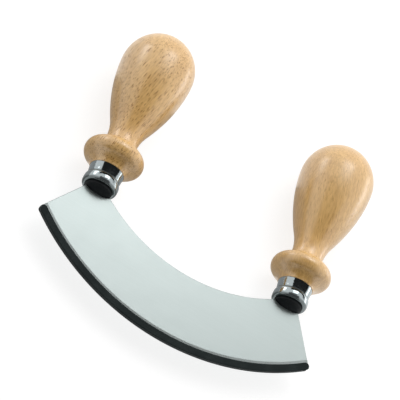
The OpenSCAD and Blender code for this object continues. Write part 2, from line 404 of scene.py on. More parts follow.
# Dull film for the groove and the collar, also used as the painted dark reflection above the mouth
TARNISH_AND_PAINTED_REFLECTION = (0.12, 0.14, 0.14, 1)
SMUDGED_PLATE = (0.5, 0.55, 0.56, 1)
BUSH_STREAK = (0.02, 0.027, 0.028, 1)
BUSH_SCRATCH = (0.06, 0.07, 0.07, 1)
GUARD_LINE = (0.014, 0.021, 0.0205, 1)
GUARD_SMUDGE = (0.017, 0.024, 0.0235, 1)
GUARD_SCRATCH = (0.06, 0.075, 0.075, 1)

# Width of a year's growth in the beech, in millimetres
YEAR_WIDTH = 2.4
# Turn of the tool marks' wave, in radians, over a millimetre of handle
TOOL_MARKS = 9.0
# How close the grinding marks lie: noise cells over each radian of the bevel
GRINDING_MARKS = 620.0
# Half width of the line where the ground bevel meets the satin steel, in millimetres
BEVEL_SOFTNESS = 0.08
# Where dull film on a ferrule begins and is full, in millimetres: from the middle of the groove
# and below the wood; and above the mouth, where the plate is painted dark as a painted dark reflection
GROOVE_FILM = (0.55, 0.2)
COLLAR_FILM = (0.35, 0.05)
MOUTH_DARK_BAND = (1.9, 0.9)
# How one block of beech differs from the other: turn of the grain, place of the pith in
# millimetres, share of the cells that hold a fleck, and depth of the flecks' colour
BLOCKS = {
    "left": ((math.radians(-15), math.radians(-11), 0.4), (80, 25, 0), 0.7, 0.9),
    "right": ((math.radians(-15), math.radians(14), 1.9), (-90, 20, 40), 0.45, 0.4),
}


def fill(tree, node, inputs):
    """Links or sets some inputs of a node."""
    for key, value in inputs.items():
        if isinstance(value, bpy.types.NodeSocket):
            tree.links.new(value, node.inputs[key])
        else:
            node.inputs[key].default_value = value


def add(tree, kind, inputs=None, **values):
    """Adds a shader node, sets its own values and fills its inputs."""
    node = tree.nodes.new("ShaderNode" + kind)
    for key, value in values.items():
        setattr(node, key, value)
    fill(tree, node, inputs or {})
    return node


def new_material(name):
    """A material made of nodes, and its tree."""
    material = bpy.data.materials.new(name)
    material.use_nodes = True
    return material, material.node_tree


def dressed(material, looks):
    """Gives a material's Principled BSDF its looks, and returns the material."""
    fill(material.node_tree, material.node_tree.nodes["Principled BSDF"], looks)
    return material


def maths(tree, operation, first, second=0.0, third=0.0):
    """A Math node's result."""
    return add(tree, "Math", {0: first, 1: second, 2: third}, operation=operation).outputs[0]


def times(tree, first, second):
    """Product of two values."""
    return maths(tree, "MULTIPLY", first, second)


def times_plus(tree, first, second, third):
    """Product of two values, plus a third."""
    return maths(tree, "MULTIPLY_ADD", first, second, third)


def step(tree, value, low, high, to_low=0.0, to_high=1.0):
    """A smooth step of a value between two limits."""
    inputs = {"Value": value, "From Min": low, "From Max": high, "To Min": to_low, "To Max": to_high}
    return add(tree, "MapRange", inputs, interpolation_type="SMOOTHSTEP").outputs["Result"]


def mixed(tree, factor, first, second):
    """Two colours mixed by a factor."""
    return add(tree, "Mix", {0: factor, 6: first, 7: second}, data_type="RGBA").outputs[2]


def between(tree, factor, first, second):
    """Two values mixed by a factor."""
    return add(tree, "Mix", {0: factor, 2: first, 3: second}, data_type="FLOAT").outputs[0]


def scaled(tree, vector, scale):
    """A vector multiplied by a fixed scale, axis by axis."""
    return add(tree, "VectorMath", {0: vector, 1: scale}, operation="MULTIPLY").outputs[0]


def toward(tree, vector, direction):
    """How far a direction over the surface agrees with a fixed one."""
    return add(tree, "VectorMath", {0: vector, 1: direction}, operation="DOT_PRODUCT").outputs["Value"]


def noise(tree, vector, detail, roughness=0.5, output="Fac"):
    """A noise texture over a vector."""
    inputs = {"Vector": vector, "Scale": 1.0, "Detail": detail, "Roughness": roughness}
    return add(tree, "TexNoise", inputs).outputs[output]


def bump(tree, height, distance, strength):
    """A normal with relief, from a height that spans some distance."""
    return add(tree, "Bump", {"Height": height, "Distance": distance, "Strength": strength}).outputs[0]


def new_group(name, inputs, outputs):
    """A shader node group with named sockets: its tree, what it is given, and its output node."""
    group = bpy.data.node_groups.new(name, "ShaderNodeTree")
    for way, sockets in (("INPUT", inputs), ("OUTPUT", outputs)):
        for label, kind in sockets.items():
            group.interface.new_socket(name=label, in_out=way, socket_type="NodeSocket" + kind)
    given = group.nodes.new("NodeGroupInput").outputs
    return group, given, group.nodes.new("NodeGroupOutput")


def use_group(tree, name, inputs):
    """Places a shader node group in a tree, and returns what it gives."""
    return add(tree, "Group", inputs, node_tree=bpy.data.node_groups[name]).outputs


def beech_group():
    """Colour, roughness, relief and wax of beech, with the grain along Z, in millimetres."""
    inputs = {"Vector": "Vector", "Light": "Color", "Dark": "Color", "Fleck": "Color"}
    inputs.update({"Fleck Share": "Float", "Fleck Depth": "Float"})
    outputs = {"Color": "Color", "Roughness": "Float", "Height": "Float", "Wax": "Float"}
    tree, given, result = new_group("beech", inputs, outputs)

    def grain(scale, detail, roughness=0.5, output="Fac"):
        return noise(tree, scaled(tree, given["Vector"], scale), detail, roughness, output)

    # Years: rings round the pith, on a grain that drifts slowly to and fro
    drift = grain((0.05, 0.05, 0.012), 2.0, output="Color")
    sway = {0: drift, 1: (7.0, 7.0, 0.0), 2: given["Vector"]}
    bent = add(tree, "VectorMath", sway, operation="MULTIPLY_ADD").outputs[0]
    axes = add(tree, "SeparateXYZ", {0: bent}).outputs
    squares = times_plus(tree, axes["Y"], axes["Y"], times(tree, axes["X"], axes["X"]))
    year = maths(tree, "FRACT", maths(tree, "DIVIDE", maths(tree, "SQRT", squares), YEAR_WIDTH))
    late = times(tree, step(tree, year, 0.35, 0.97), step(tree, year, 1.0, 0.975))
    # Tone: late wood, fibres, streaks and slow clouds, each with its share
    fibre = grain((3.2, 3.2, 0.14), 4.0, roughness=0.62)
    cloud = grain((0.16, 0.16, 0.03), 3.0)
    streaks = grain((1.5, 1.5, 0.24), 2.0)
    darker = times(tree, late, 0.2)
    darker = times_plus(tree, step(tree, fibre, 0.3, 0.72), 0.25, darker)
    darker = times_plus(tree, step(tree, streaks, 0.36, 0.64), 0.5, darker)
    darker = times_plus(tree, step(tree, cloud, 0.3, 0.7), 0.34, darker)
    wood = mixed(tree, times(tree, darker, 0.85), given["Light"], given["Dark"])
    # Flecks: cut rays, one in each chosen cell, of their own size and depth
    stretched = scaled(tree, given["Vector"], (1.9, 2.3, 0.24))
    cells = add(tree, "TexVoronoi", {"Vector": stretched, "Scale": 1.0, "Randomness": 1.0}).outputs
    chance = add(tree, "SeparateColor", {0: cells["Color"]}).outputs
    chosen = maths(tree, "LESS_THAN", chance["Red"], given["Fleck Share"])
    size = times_plus(tree, chance["Green"], 0.2, 0.32)
    ray = step(tree, cells["Distance"], size, times(tree, size, 0.65))
    ray = times(tree, times(tree, ray, chosen), times_plus(tree, chance["Blue"], 0.85, 0.15))
    ray = times(tree, ray, given["Fleck Depth"])
    pore = step(tree, grain((9.0, 9.0, 0.9), 1.0), 0.6, 0.72)
    wood = mixed(tree, times(tree, pore, 0.16), wood, given["Fleck"])
    height = times_plus(tree, pore, -0.45, times(tree, fibre, 0.5))
    made = {
        "Color": mixed(tree, ray, wood, given["Fleck"]),
        "Roughness": times_plus(tree, fibre, 0.16, 0.36),
        "Height": times_plus(tree, ray, -0.2, height),
        "Wax": maths(tree, "SUBTRACT", 1.0, ray),
    }
    fill(tree, result, made)


def scuffs_group():
    """Hairline scratches and faint smudges, for metal and plastic, over a vector in millimetres."""
    inputs = {"Vector": "Vector", "Amount": "Float"}
    outputs = {"Scratches": "Float", "Smudges": "Float"}
    tree, given, result = new_group("scuffs", inputs, outputs)
    vector, amount = given["Vector"], given["Amount"]
    lines = []
    # Three sets of scratches, each with its own angle and spread
    for turn, spread in ((0.4, 0.11), (1.9, 0.07), (2.7, 0.16)):
        placed = {"Vector": vector, "Angle": turn}
        across = add(tree, "VectorRotate", placed, rotation_type="AXIS_ANGLE").outputs[0]
        field = noise(tree, scaled(tree, across, (spread, 2.6, 2.6)), 1.5)
        away = maths(tree, "ABSOLUTE", maths(tree, "SUBTRACT", field, 0.5))
        lines.append(step(tree, away, 0.012, 0.002))
    lines = maths(tree, "MAXIMUM", maths(tree, "MAXIMUM", lines[0], lines[1]), lines[2])
    patches = noise(tree, scaled(tree, vector, (0.1,) * 3), 3.0)
    lines = times(tree, lines, step(tree, patches, 0.46, 0.62))
    smudges = step(tree, patches, 0.4, 0.68)
    made = {"Scratches": times(tree, lines, amount), "Smudges": times(tree, smudges, amount)}
    fill(tree, result, made)


def piece_space(tree, matrix):
    """Object coordinates turned back into a piece's own upright frame, in millimetres."""
    inputs = {
        "Vector": add(tree, "TexCoord").outputs["Object"],
        "Location": matrix.to_translation(),
        "Rotation": matrix.to_euler("XYZ"),
    }
    return scaled(tree, add(tree, "Mapping", inputs, vector_type="TEXTURE").outputs[0], (1 / MM,) * 3)


def about_edge(tree, own):
    """Distance and angle about the centre of the cutting edge's curve, and place across the blade."""
    axes = add(tree, "SeparateXYZ", {0: own}).outputs
    drop = maths(tree, "SUBTRACT", knife(bpy.context).blade.edge_radius / MM, axes["Z"])
    squares = times_plus(tree, drop, drop, times(tree, axes["X"], axes["X"]))
    return maths(tree, "SQRT", squares), maths(tree, "ARCTAN2", axes["X"], drop), axes["Y"]


def wood_material(name, side):
    """Waxed beech of one handle, cut from its own place in the tree."""
    colours = knife(bpy.context).handle
    turn, pith, fleck_share, fleck_depth = BLOCKS[name]
    material, tree = new_material(f"{name}_beech")
    own = piece_space(tree, on_axis(side))
    placed = {"Vector": own, "Location": pith, "Rotation": turn}
    inputs = {
        "Vector": add(tree, "Mapping", placed, vector_type="POINT").outputs[0],
        "Light": (*colours.light, 1),
        "Dark": (*colours.dark, 1),
        "Fleck": (*colours.fleck, 1),
        "Fleck Share": fleck_share,
        "Fleck Depth": fleck_depth,
    }
    beech = use_group(tree, "beech", inputs)
    # Faint rings that the turning tool left round the handle
    height_up = add(tree, "SeparateXYZ", {0: own}).outputs["Z"]
    tool_marks = maths(tree, "SINE", times(tree, height_up, TOOL_MARKS))
    relief = times_plus(tree, tool_marks, 0.06, beech["Height"])
    looks = {
        "Base Color": beech["Color"],
        "Roughness": beech["Roughness"],
        "Coat Weight": beech["Wax"],
        "Coat IOR": 2.1,
        "Coat Roughness": 0.3,
        "Specular IOR Level": 0.35,
        "Normal": bump(tree, relief, distance=0.06 * MM, strength=0.8),
    }
    return dressed(material, looks)


def steel_material():
    """Satin steel, brushed along the blade, with the bevel ground across it."""
    sizes = knife(bpy.context).blade
    material, tree = new_material("satin_steel")
    own = piece_space(tree, lying())
    brushing = noise(tree, scaled(tree, own, (0.045, 2.4, 3.0)), 5.0, roughness=0.7)
    rolled = noise(tree, scaled(tree, own, (0.035, 0.05, 0.05)), 3.0)
    scuffs = use_group(tree, "scuffs", {"Vector": own, "Amount": 0.35})
    reach, angle, _ = about_edge(tree, own)
    bevel_start = (sizes.edge_radius - sizes.bevel_width) / MM
    on_bevel = step(tree, reach, bevel_start - BEVEL_SOFTNESS, bevel_start + BEVEL_SOFTNESS)
    around = {"X": times(tree, angle, GRINDING_MARKS), "Y": times(tree, reach, 0.15)}
    grinding = noise(tree, add(tree, "CombineXYZ", around).outputs[0], 4.0, roughness=0.65)
    satin = mixed(tree, step(tree, rolled, 0.3, 0.7, to_high=0.16), (*sizes.steel, 1), DULL_STEEL)
    satin = mixed(tree, step(tree, brushing, 0.35, 0.75, to_high=0.2), satin, BRIGHT_STEEL)
    steel = mixed(tree, on_bevel, satin, (*sizes.ground, 1))
    # Painted shade: the cut sides and rounded corners, which look away from both flat faces, are
    # painted darker, as a dark outline of shade round the blade
    upright = toward(tree, add(tree, "NewGeometry").outputs["Normal"], FACE)
    edge_shade_mask = step(tree, maths(tree, "ABSOLUTE", upright), 0.97, 0.8, to_high=0.9)
    satin_rough = times_plus(tree, brushing, 0.14, 0.27)
    satin_rough = times_plus(tree, scuffs["Smudges"], 0.06, satin_rough)
    rough = between(tree, on_bevel, satin_rough, times_plus(tree, grinding, 0.2, 0.2))
    lines = between(tree, on_bevel, brushing, grinding)
    relief = times_plus(tree, scuffs["Scratches"], -0.5, lines)
    looks = {
        "Base Color": mixed(tree, edge_shade_mask, steel, PAINTED_EDGE_SHADE),
        "Roughness": times_plus(tree, scuffs["Scratches"], -0.12, rough),
        "Metallic": 1,
        "Normal": bump(tree, relief, distance=0.012 * MM, strength=0.5),
    }
    return dressed(material, looks)


def plate_material(name, side):
    """Bright plate, slightly wavy, with hairlines, dull film in the groove and a painted dark
    reflection above the mouth.
    """
    settings = knife(bpy.context)
    sizes = settings.ferrule
    material, tree = new_material(f"{name}_plate")
    own = piece_space(tree, on_axis(side))
    waves = noise(tree, scaled(tree, own, (0.33, 0.33, 0.5)), 2.0)
    scuffs = use_group(tree, "scuffs", {"Vector": own, "Amount": 0.6})
    height_up = add(tree, "SeparateXYZ", {0: own}).outputs["Z"]
    mouth_z = settings.bush.out / MM
    groove_z = (settings.bush.out + sizes.bead_height + sizes.groove_width / 2) / MM
    wood_z = (settings.bush.out + sizes.total) / MM
    away = maths(tree, "ABSOLUTE", maths(tree, "SUBTRACT", height_up, groove_z))
    film = step(tree, away, *GROOVE_FILM)
    collar_film = step(tree, height_up, *[wood_z - below for below in COLLAR_FILM])
    film = maths(tree, "MAXIMUM", film, collar_film)
    tarnish = times(tree, film, step(tree, waves, 0.35, 0.6, to_low=0.45, to_high=0.85))
    # Painted reflection: the plate is painted dark just above the mouth, where it would reflect dark
    # surroundings
    painted_dark_band = step(tree, height_up, *[mouth_z + above for above in MOUTH_DARK_BAND], to_high=0.9)
    plate = mixed(tree, maths(tree, "MAXIMUM", tarnish, painted_dark_band), (*sizes.plate, 1), TARNISH_AND_PAINTED_REFLECTION)
    rough = times_plus(tree, scuffs["Smudges"], 0.08, 0.11)
    rough = times_plus(tree, tarnish, 0.3, rough)
    relief = times_plus(tree, scuffs["Scratches"], -0.02, waves)
    looks = {
        "Base Color": mixed(tree, times(tree, scuffs["Smudges"], 0.2), plate, SMUDGED_PLATE),
        "Roughness": times_plus(tree, scuffs["Scratches"], 0.15, rough),
        "Metallic": 1,
        "Normal": bump(tree, relief, distance=0.22 * MM, strength=0.6),
    }
    return dressed(material, looks)


def bush_material(name, side):
    """Black moulded plastic, satin, with faint moulding streaks."""
    black = (*knife(bpy.context).bush.black, 1)
    material, tree = new_material(f"{name}_black")
    own = piece_space(tree, on_axis(side))
    streaks = noise(tree, scaled(tree, own, (0.5, 2.2, 1.2)), 4.0)
    scuffs = use_group(tree, "scuffs", {"Vector": own, "Amount": 0.5})
    grey = mixed(tree, step(tree, streaks, 0.45, 0.75, to_high=0.5), black, BUSH_STREAK)
    looks = {
        "Base Color": mixed(tree, times(tree, scuffs["Scratches"], 0.5), grey, BUSH_SCRATCH),
        "Roughness": times_plus(tree, streaks, 0.2, 0.42),
        "Specular IOR Level": 0.2,
        "Normal": bump(tree, streaks, distance=0.05 * MM, strength=0.5),
    }
    return dressed(material, looks)


def guard_material():
    """Matt black plastic, drawn out lengthwise, with faint lines, smudges and pale scratches."""
    black = (*knife(bpy.context).guard.black, 1)
    material, tree = new_material("guard_plastic")
    own = piece_space(tree, lying())
    reach, angle, across = about_edge(tree, own)
    along = {"X": times(tree, angle, 6.0), "Y": times(tree, reach, 3.6), "Z": across}
    drawn = noise(tree, add(tree, "CombineXYZ", along).outputs[0], 4.0, roughness=0.6)
    scuffs = use_group(tree, "scuffs", {"Vector": own, "Amount": 0.7})
    grey = mixed(tree, step(tree, drawn, 0.45, 0.75, to_high=0.8), black, GUARD_LINE)
    grey = mixed(tree, times(tree, scuffs["Smudges"], 0.3), grey, GUARD_SMUDGE)
    relief = times_plus(tree, scuffs["Scratches"], -0.3, drawn)
    looks = {
        "Base Color": mixed(tree, times(tree, scuffs["Scratches"], 0.6), grey, GUARD_SCRATCH),
        "Roughness": times_plus(tree, drawn, 0.22, 0.42),
        "Specular IOR Level": 0.12,
        "Normal": bump(tree, relief, distance=0.08 * MM, strength=0.7),
    }
    return dressed(material, looks)


# Outlines

# Share of the bulb's flank that is left when the neck's curve takes over
FLANK_END = 0.87
# How far the neck's curve holds on to the bulb's flank and to the ring bead
NECK_FROM_BULB = 9.2 * MM
NECK_FROM_RING = 2 * MM
# The ring bead's round part runs from its top to its underside, between these angles
RING_TOP = math.radians(96)
RING_UNDER = math.radians(-62)
# How far the cove below the ring bead holds on to the bead, and the place it aims at over the foot
COVE_FROM_RING = 2.2 * MM
COVE_OUT = 0.1 * MM
COVE_UP = 2 * MM
# Share of the foot's rounding, and of the guard's, that is cut back along each side of a corner
CORNER_SHARE = 0.8
GUARD_CORNER = 0.7
# How far the collar's flare rises before it bends, and its slope there
FLARE_RISE = Vector((0.1, 1.5)) * MM
FLARE_SLOPE = 6


def wood_outline(settings):
    """Outline of the turned wood from the top of the bulb to the bottom of the tang's hole."""
    wood, ferrule, bush, blade = settings.handle, settings.ferrule, settings.bush, settings.blade
    wood_z = bush.out + ferrule.total
    top_z = wood_z + wood.wood_length
    bulb_z = top_z - wood.bulb_cap
    neck_z = wood_z + wood.neck_place
    bulb_r, neck_r = wood.bulb_diameter / 2, wood.neck_diameter / 2
    ring_centre = (wood.ring_diameter / 2 - wood.ring_bulge, wood_z + wood.ring_place)
    ring_squash = wood.ring_height / 2 / wood.ring_bulge
    foot_r = ferrule.collar_diameter / 2 + wood.foot_lip
    spigot_r = bore_radius(ferrule) - bush.fit
    cap = arc((0, bulb_z), bulb_r, math.pi / 2, 0, steps=28, squash=wood.bulb_cap / bulb_r)
    cap[0] = (0, top_z)
    flank_steps = 44
    flank = []
    for i in range(1, flank_steps + 1):
        s = FLANK_END * i / flank_steps
        r = bulb_r - (bulb_r - neck_r) * s**wood.bulb_fullness
        flank.append((r, bulb_z - (bulb_z - neck_z) * s))
    ring = arc(ring_centre, wood.ring_bulge, RING_TOP, RING_UNDER, steps=30, squash=ring_squash)
    leave_bulb = Vector(flank[-1]) + heading(flank[-2], flank[-1]) * NECK_FROM_BULB
    reach_ring = Vector(ring[0]) - heading(ring[0], ring[1]) * NECK_FROM_RING
    neck = bezier(flank[-1], leave_bulb, reach_ring, ring[0], steps=18)
    leave_ring = Vector(ring[-1]) + heading(ring[-2], ring[-1]) * COVE_FROM_RING
    foot_top = (foot_r, wood_z + wood.foot_round)
    reach_foot = (foot_r + COVE_OUT, wood_z + COVE_UP)
    cove = bezier(ring[-1], leave_ring, reach_foot, foot_top, steps=8)
    hole_r = wood.tang_hole / 2
    hole_z = blade.tang_length + wood.tang_hole_extra
    low_z = wood_z - wood.spigot
    foot_corner = wood.foot_round * CORNER_SHARE
    shell = cap + flank + neck + ring + cove + [foot_top]
    corner = softened([foot_top, (foot_r, wood_z), (spigot_r, wood_z)], [1], foot_corner)
    inside = [(spigot_r, low_z), (hole_r, low_z), (hole_r, hole_z), (0, hole_z)]
    return shell + corner[1:] + inside


def ferrule_outline(settings):
    """Outline of the ferrule: mouth, rounded bead, groove, flared collar and bore."""
    sizes = settings.ferrule
    bead_r = sizes.bead_diameter / 2
    groove_r = bead_r - sizes.groove_depth
    bore_r = bore_radius(sizes)
    mouth_r = bore_r - sizes.lip_in
    rim_r = mouth_r + sizes.lip_edge
    mouth_z = settings.bush.out
    wood_z = mouth_z + sizes.total
    half = sizes.bead_height / 2
    power = 2 / sizes.bead_squareness
    bead_steps = 36
    bead = []
    for i in range(1, bead_steps):
        a = math.pi * (i / bead_steps - 0.5)
        end_r = rim_r if a < 0 else groove_r
        r = end_r + (bead_r - end_r) * math.cos(a) ** power
        bead.append((r, mouth_z + half + half * math.copysign(abs(math.sin(a)) ** power, a)))
    groove_z = mouth_z + sizes.bead_height
    collar_z = groove_z + sizes.groove_width
    collar_top = (sizes.collar_diameter / 2, wood_z)
    points = [(mouth_r, mouth_z), (rim_r, mouth_z)] + bead
    first = len(points)
    foot = (groove_r + sizes.flare_step, collar_z)
    points += [(groove_r, groove_z), (groove_r, collar_z - sizes.groove_width / 2), foot]
    bend = Vector(collar_top) - Vector((1, FLARE_SLOPE)) * sizes.collar_taper
    points += bezier(foot, Vector(foot) + FLARE_RISE, bend, collar_top, steps=8)
    lip_z = mouth_z + sizes.lip_thickness
    points += [collar_top, (bore_r, wood_z), (bore_r, lip_z), (mouth_r, lip_z)]
    corners = [0, first + 1, first + 2, len(points) - 1]
    return softened(points, corners, sizes.softening)


def bush_outline(settings):
    """Outline of the bush: domed end, straight side and wider body above the ferrule's lip."""
    sizes, ferrule = settings.bush, settings.ferrule
    body_r = bore_radius(ferrule) - sizes.fit
    bush_r, dome_r = bush_radii(settings)
    lip_z = sizes.out + ferrule.lip_thickness + sizes.fit
    top_z = sizes.out + ferrule.lip_thickness + sizes.inside
    half = math.asin(bush_r / dome_r)
    dome = arc((0, dome_r - sizes.dome), dome_r, -math.pi / 2, half - math.pi / 2, steps=22)
    dome[0] = (0, -sizes.dome)
    points = dome + [(bush_r, lip_z), (body_r, lip_z), (body_r, top_z), (0, top_z)]
    return softened(points, [len(dome) - 1, len(points) - 2], sizes.softening)


# Operators


class Finishes(bpy.types.Operator):
    """Build the shared effects that the materials use"""

    bl_idname = "rocking_knife.finishes"
    bl_label = "Shared finishes"

    def execute(self, context):
        beech_group()
        scuffs_group()
        return {"FINISHED"}


class BladePiece(bpy.types.Operator):
    """Model the steel blade with its ground bevel, hollow shoulders and both tangs"""

    bl_idname = "rocking_knife.blade"
    bl_label = "Blade"

    def execute(self, context):
        settings = knife(context)
        bm = blade_plate(settings)
        grind_bevel(bm, settings)
        round_corners(bm, settings.blade)
        grow_tangs(bm, settings)
        bm.transform(lying())
        names = ("blade_steel", "knife", "blade", "blade_steel")
        finished(bm, *names, steel_material(), smooth=4)
        return {"FINISHED"}


def right_half(settings):
    """Outline of the blade's right half as (x, z), from the middle of the bevel to the inner edge."""
    blade, bush = settings.blade, settings.bush
    place = shoulder_frame(settings, RIGHT)
    dome_r = bush_radii(settings)[1]
    hollow_r = dome_r + bush.fit
    dome_z = dome_r - bush.dome
    down = -math.pi / 2
    flat_r = blade.edge_radius - blade.bevel_width
    bevel_end = down + half_angle(settings, flat_r)
    bevel = arc((0, blade.edge_radius), flat_r, down, bevel_end, steps=70)

    def hollow(u_from, u_to, steps):
        across = [u_from + (u_to - u_from) * i / steps for i in range(steps + 1)]
        return [place(u, dome_z - math.sqrt(hollow_r**2 - u**2)) for u in across]

    middle = Vector(place(0, 0))
    hollow_low = meet_circle(*end_edge(settings), place(0, dome_z), hollow_r, nearest=True)
    outer_u = (Vector(hollow_low) - middle).dot(Vector(place(1, 0)) - middle)
    inner_u = -blade.shoulder_in
    inner_angle = math.asin(hollow(inner_u, inner_u, 1)[0][0] / blade.inner_radius)
    inner_centre = (0, blade.depth + blade.inner_radius)
    inner = arc(inner_centre, blade.inner_radius, down + inner_angle, down, steps=48)
    tang_root = blade.tang_width / 2 + tang_step(blade)
    # The hollow ends just short of the inner edge's first point
    outside = hollow(outer_u, tang_root, steps=5)
    return bevel + outside + hollow(-tang_root, inner_u * 0.98, steps=6) + inner


def tang_step(blade):
    """How far each side of a tang lies inside the blade's own sides."""
    return (blade.thickness - blade.tang_thickness) / 2


def blade_plate(settings):
    """Extrudes the outline of the flat part of the blade to its thickness."""
    half = right_half(settings)
    outline = half + [(-x, z) for x, z in reversed(half[1:-1])]
    bm = bmesh.new()
    verts = [bm.verts.new((x, -settings.blade.thickness / 2, z)) for x, z in outline]
    bm.faces.new(verts)
    grown = bmesh.ops.extrude_face_region(bm, geom=bm.faces[:], use_keep_orig=True)
    moved = [v for v in grown["geom"] if isinstance(v, bmesh.types.BMVert)]
    bmesh.ops.translate(bm, verts=moved, vec=(0, settings.blade.thickness, 0))
    return bm


def grind_bevel(bm, settings):
    """Grows the curved outer side into the ground bevel, down to the thin cutting edge."""
    blade = settings.blade
    edge_r = blade.edge_radius
    flat_r = edge_r - blade.bevel_width

    def on_curve(v):
        return abs(math.hypot(v.co.x, edge_r - v.co.z) - flat_r) < NEAR

    sides = [f for f in bm.faces if len(f.verts) == 4 and all(on_curve(v) for v in f.verts)]
    grown = bmesh.ops.extrude_face_region(bm, geom=sides)
    moved = [v for v in grown["geom"] if isinstance(v, bmesh.types.BMVert)]
    bmesh.ops.delete(bm, geom=sides, context="FACES")
    widening = half_angle(settings, edge_r) / half_angle(settings, flat_r)
    for v in moved:
        turn = math.atan2(v.co.x, edge_r - v.co.z) * widening
        v.co.x = edge_r * math.sin(turn)
        v.co.z = edge_r - edge_r * math.cos(turn)
        v.co.y *= blade.edge_thickness / blade.thickness


def grow_tangs(bm, settings):
    """Draws a tang out of each shoulder, a little thinner than the blade, with a tapered tip."""
    blade = settings.blade
    square_on = 0.999
    near_axis = 0.1 * MM
    for side in SIDES.values():
        place = shoulder_frame(settings, side)
        ends = [place(0, w) for w in (0, blade.tang_length)]
        foot, top = [Vector((x, 0, z)) for x, z in ends]
        up = (top - foot).normalized()
        roots = [
            f
            for f in bm.faces
            if len(f.verts) == 4
            and abs(f.normal.dot(up)) > square_on
            and (f.calc_center_median() - foot).cross(up).length < near_axis
        ]
        bmesh.ops.inset_individual(bm, faces=roots, thickness=tang_step(blade))
        low = (roots[0].calc_center_median() - foot).dot(up)
        for rise in (blade.tang_length - blade.tang_tip - low, blade.tang_tip):
            roots = bmesh.ops.extrude_discrete_faces(bm, faces=roots)["faces"]
            bmesh.ops.translate(bm, verts=roots[0].verts, vec=up * rise)
        middle = roots[0].calc_center_median()
        for v in roots[0].verts:
            across = v.co - middle
            across.y = 0
            v.co -= across * (1 - blade.tang_tip_width / blade.tang_width)


def round_corners(bm, blade):
    """Rounds the corners between the flat faces and the sides of the blade."""
    sharp_angle = math.radians(60)
    sharp = [
        e
        for e in bm.edges
        if len(e.link_faces) == 2
        and e.calc_face_angle() > sharp_angle
        and any(len(f.verts) > 4 for f in e.link_faces)
    ]
    bmesh.ops.bevel(
        bm,
        geom=sharp,
        offset=blade.burr,
        offset_type="OFFSET",
        segments=2,
        profile=0.5,
        affect="EDGES",
        material=-1,
        clamp_overlap=True,
    )


class HandlePieces(bpy.types.Operator):
    """Turn both beech handles, drilled for their tangs"""

    bl_idname = "rocking_knife.handles"
    bl_label = "Handles"

    def execute(self, context):
        names = ("handle", "wood", "handle_wood")
        turned_pair(wood_outline(knife(context)), *names, wood_material, steps=144, smooth=50)
        return {"FINISHED"}


class FerrulePieces(bpy.types.Operator):
    """Spin both plated ferrules"""

    bl_idname = "rocking_knife.ferrules"
    bl_label = "Ferrules"

    def execute(self, context):
        names = ("ferrule", "shell", "ferrule_plate")
        turned_pair(ferrule_outline(knife(context)), *names, plate_material, steps=160, smooth=40)
        return {"FINISHED"}


class BushPieces(bpy.types.Operator):
    """Model both black bushes, slotted for their tangs"""

    bl_idname = "rocking_knife.bushes"
    bl_label = "Bushes"

    def execute(self, context):
        names = ("bush", "disc", "bush_black")
        outline = bush_outline(knife(context))
        turned_pair(outline, *names, bush_material, steps=128, smooth=40, cut=cut_slot)
        return {"FINISHED"}


def cut_slot(bm):
    """Cuts the slot for the tang through a bush that stands on its axis, and returns the bush."""
    blade, fit = knife(bpy.context).blade, knife(bpy.context).bush.fit
    well_through = 40 * MM
    cutter = bmesh.new()
    bmesh.ops.create_cube(cutter, size=1)
    size = Vector((blade.tang_width + 2 * fit, blade.tang_thickness + 2 * fit, well_through))
    bmesh.ops.scale(cutter, vec=size, verts=cutter.verts)
    objects = []
    for name, source in (("bush_body", bm), ("bush_cutter", cutter)):
        bmesh.ops.recalc_face_normals(source, faces=source.faces)
        objects.append(meshed(source, name))
    body, tool = objects
    modifier = body.modifiers.new("slot", "BOOLEAN")
    modifier.operation = "DIFFERENCE"
    modifier.solver = "EXACT"
    modifier.object = tool
    bpy.context.view_layer.update()
    slotted = bmesh.new()
    slotted.from_mesh(body.evaluated_get(bpy.context.evaluated_depsgraph_get()).to_mesh())
    # A mesh that is removed takes its object with it
    for thing in objects:
        bpy.data.meshes.remove(thing.data)
    return slotted


class GuardPiece(bpy.types.Operator):
    """Model the plastic guard: a channel swept along the cutting edge, with rounded ends"""

    bl_idname = "rocking_knife.guard"
    bl_label = "Edge guard"

    def execute(self, context):
        bm = guard_channel(knife(context))
        bm.transform(lying())
        names = ("edge_guard_strip", "guard", "edge_guard", "guard_black")
        finished(bm, *names, guard_material(), smooth=50)
        return {"FINISHED"}


def guard_section(settings):
    """Section of the guard as (radius, place across), with its slot for the bevelled blade."""
    blade, sizes = settings.blade, settings.guard
    slot_r = blade.edge_radius + sizes.edge_gap
    outer_r = slot_r + sizes.web
    lip_r = outer_r - sizes.width
    share = (blade.edge_radius - lip_r) / blade.bevel_width
    bevelled = blade.edge_thickness + (blade.thickness - blade.edge_thickness) * share
    slot = min(blade.thickness, bevelled) / 2 + sizes.slot_gap
    half = sizes.thickness / 2
    upper = [(outer_r, half), (lip_r, half), (lip_r, slot), (slot_r, slot)]
    lower = [(r, -y) for r, y in reversed(upper)]
    points = lower[2:] + upper + lower[:2]
    inner_corners = (points.index((slot_r, slot)), points.index((slot_r, -slot)))
    corners = [i for i in range(len(points)) if i not in inner_corners]
    return softened(points, corners, sizes.chamfer * GUARD_CORNER), outer_r


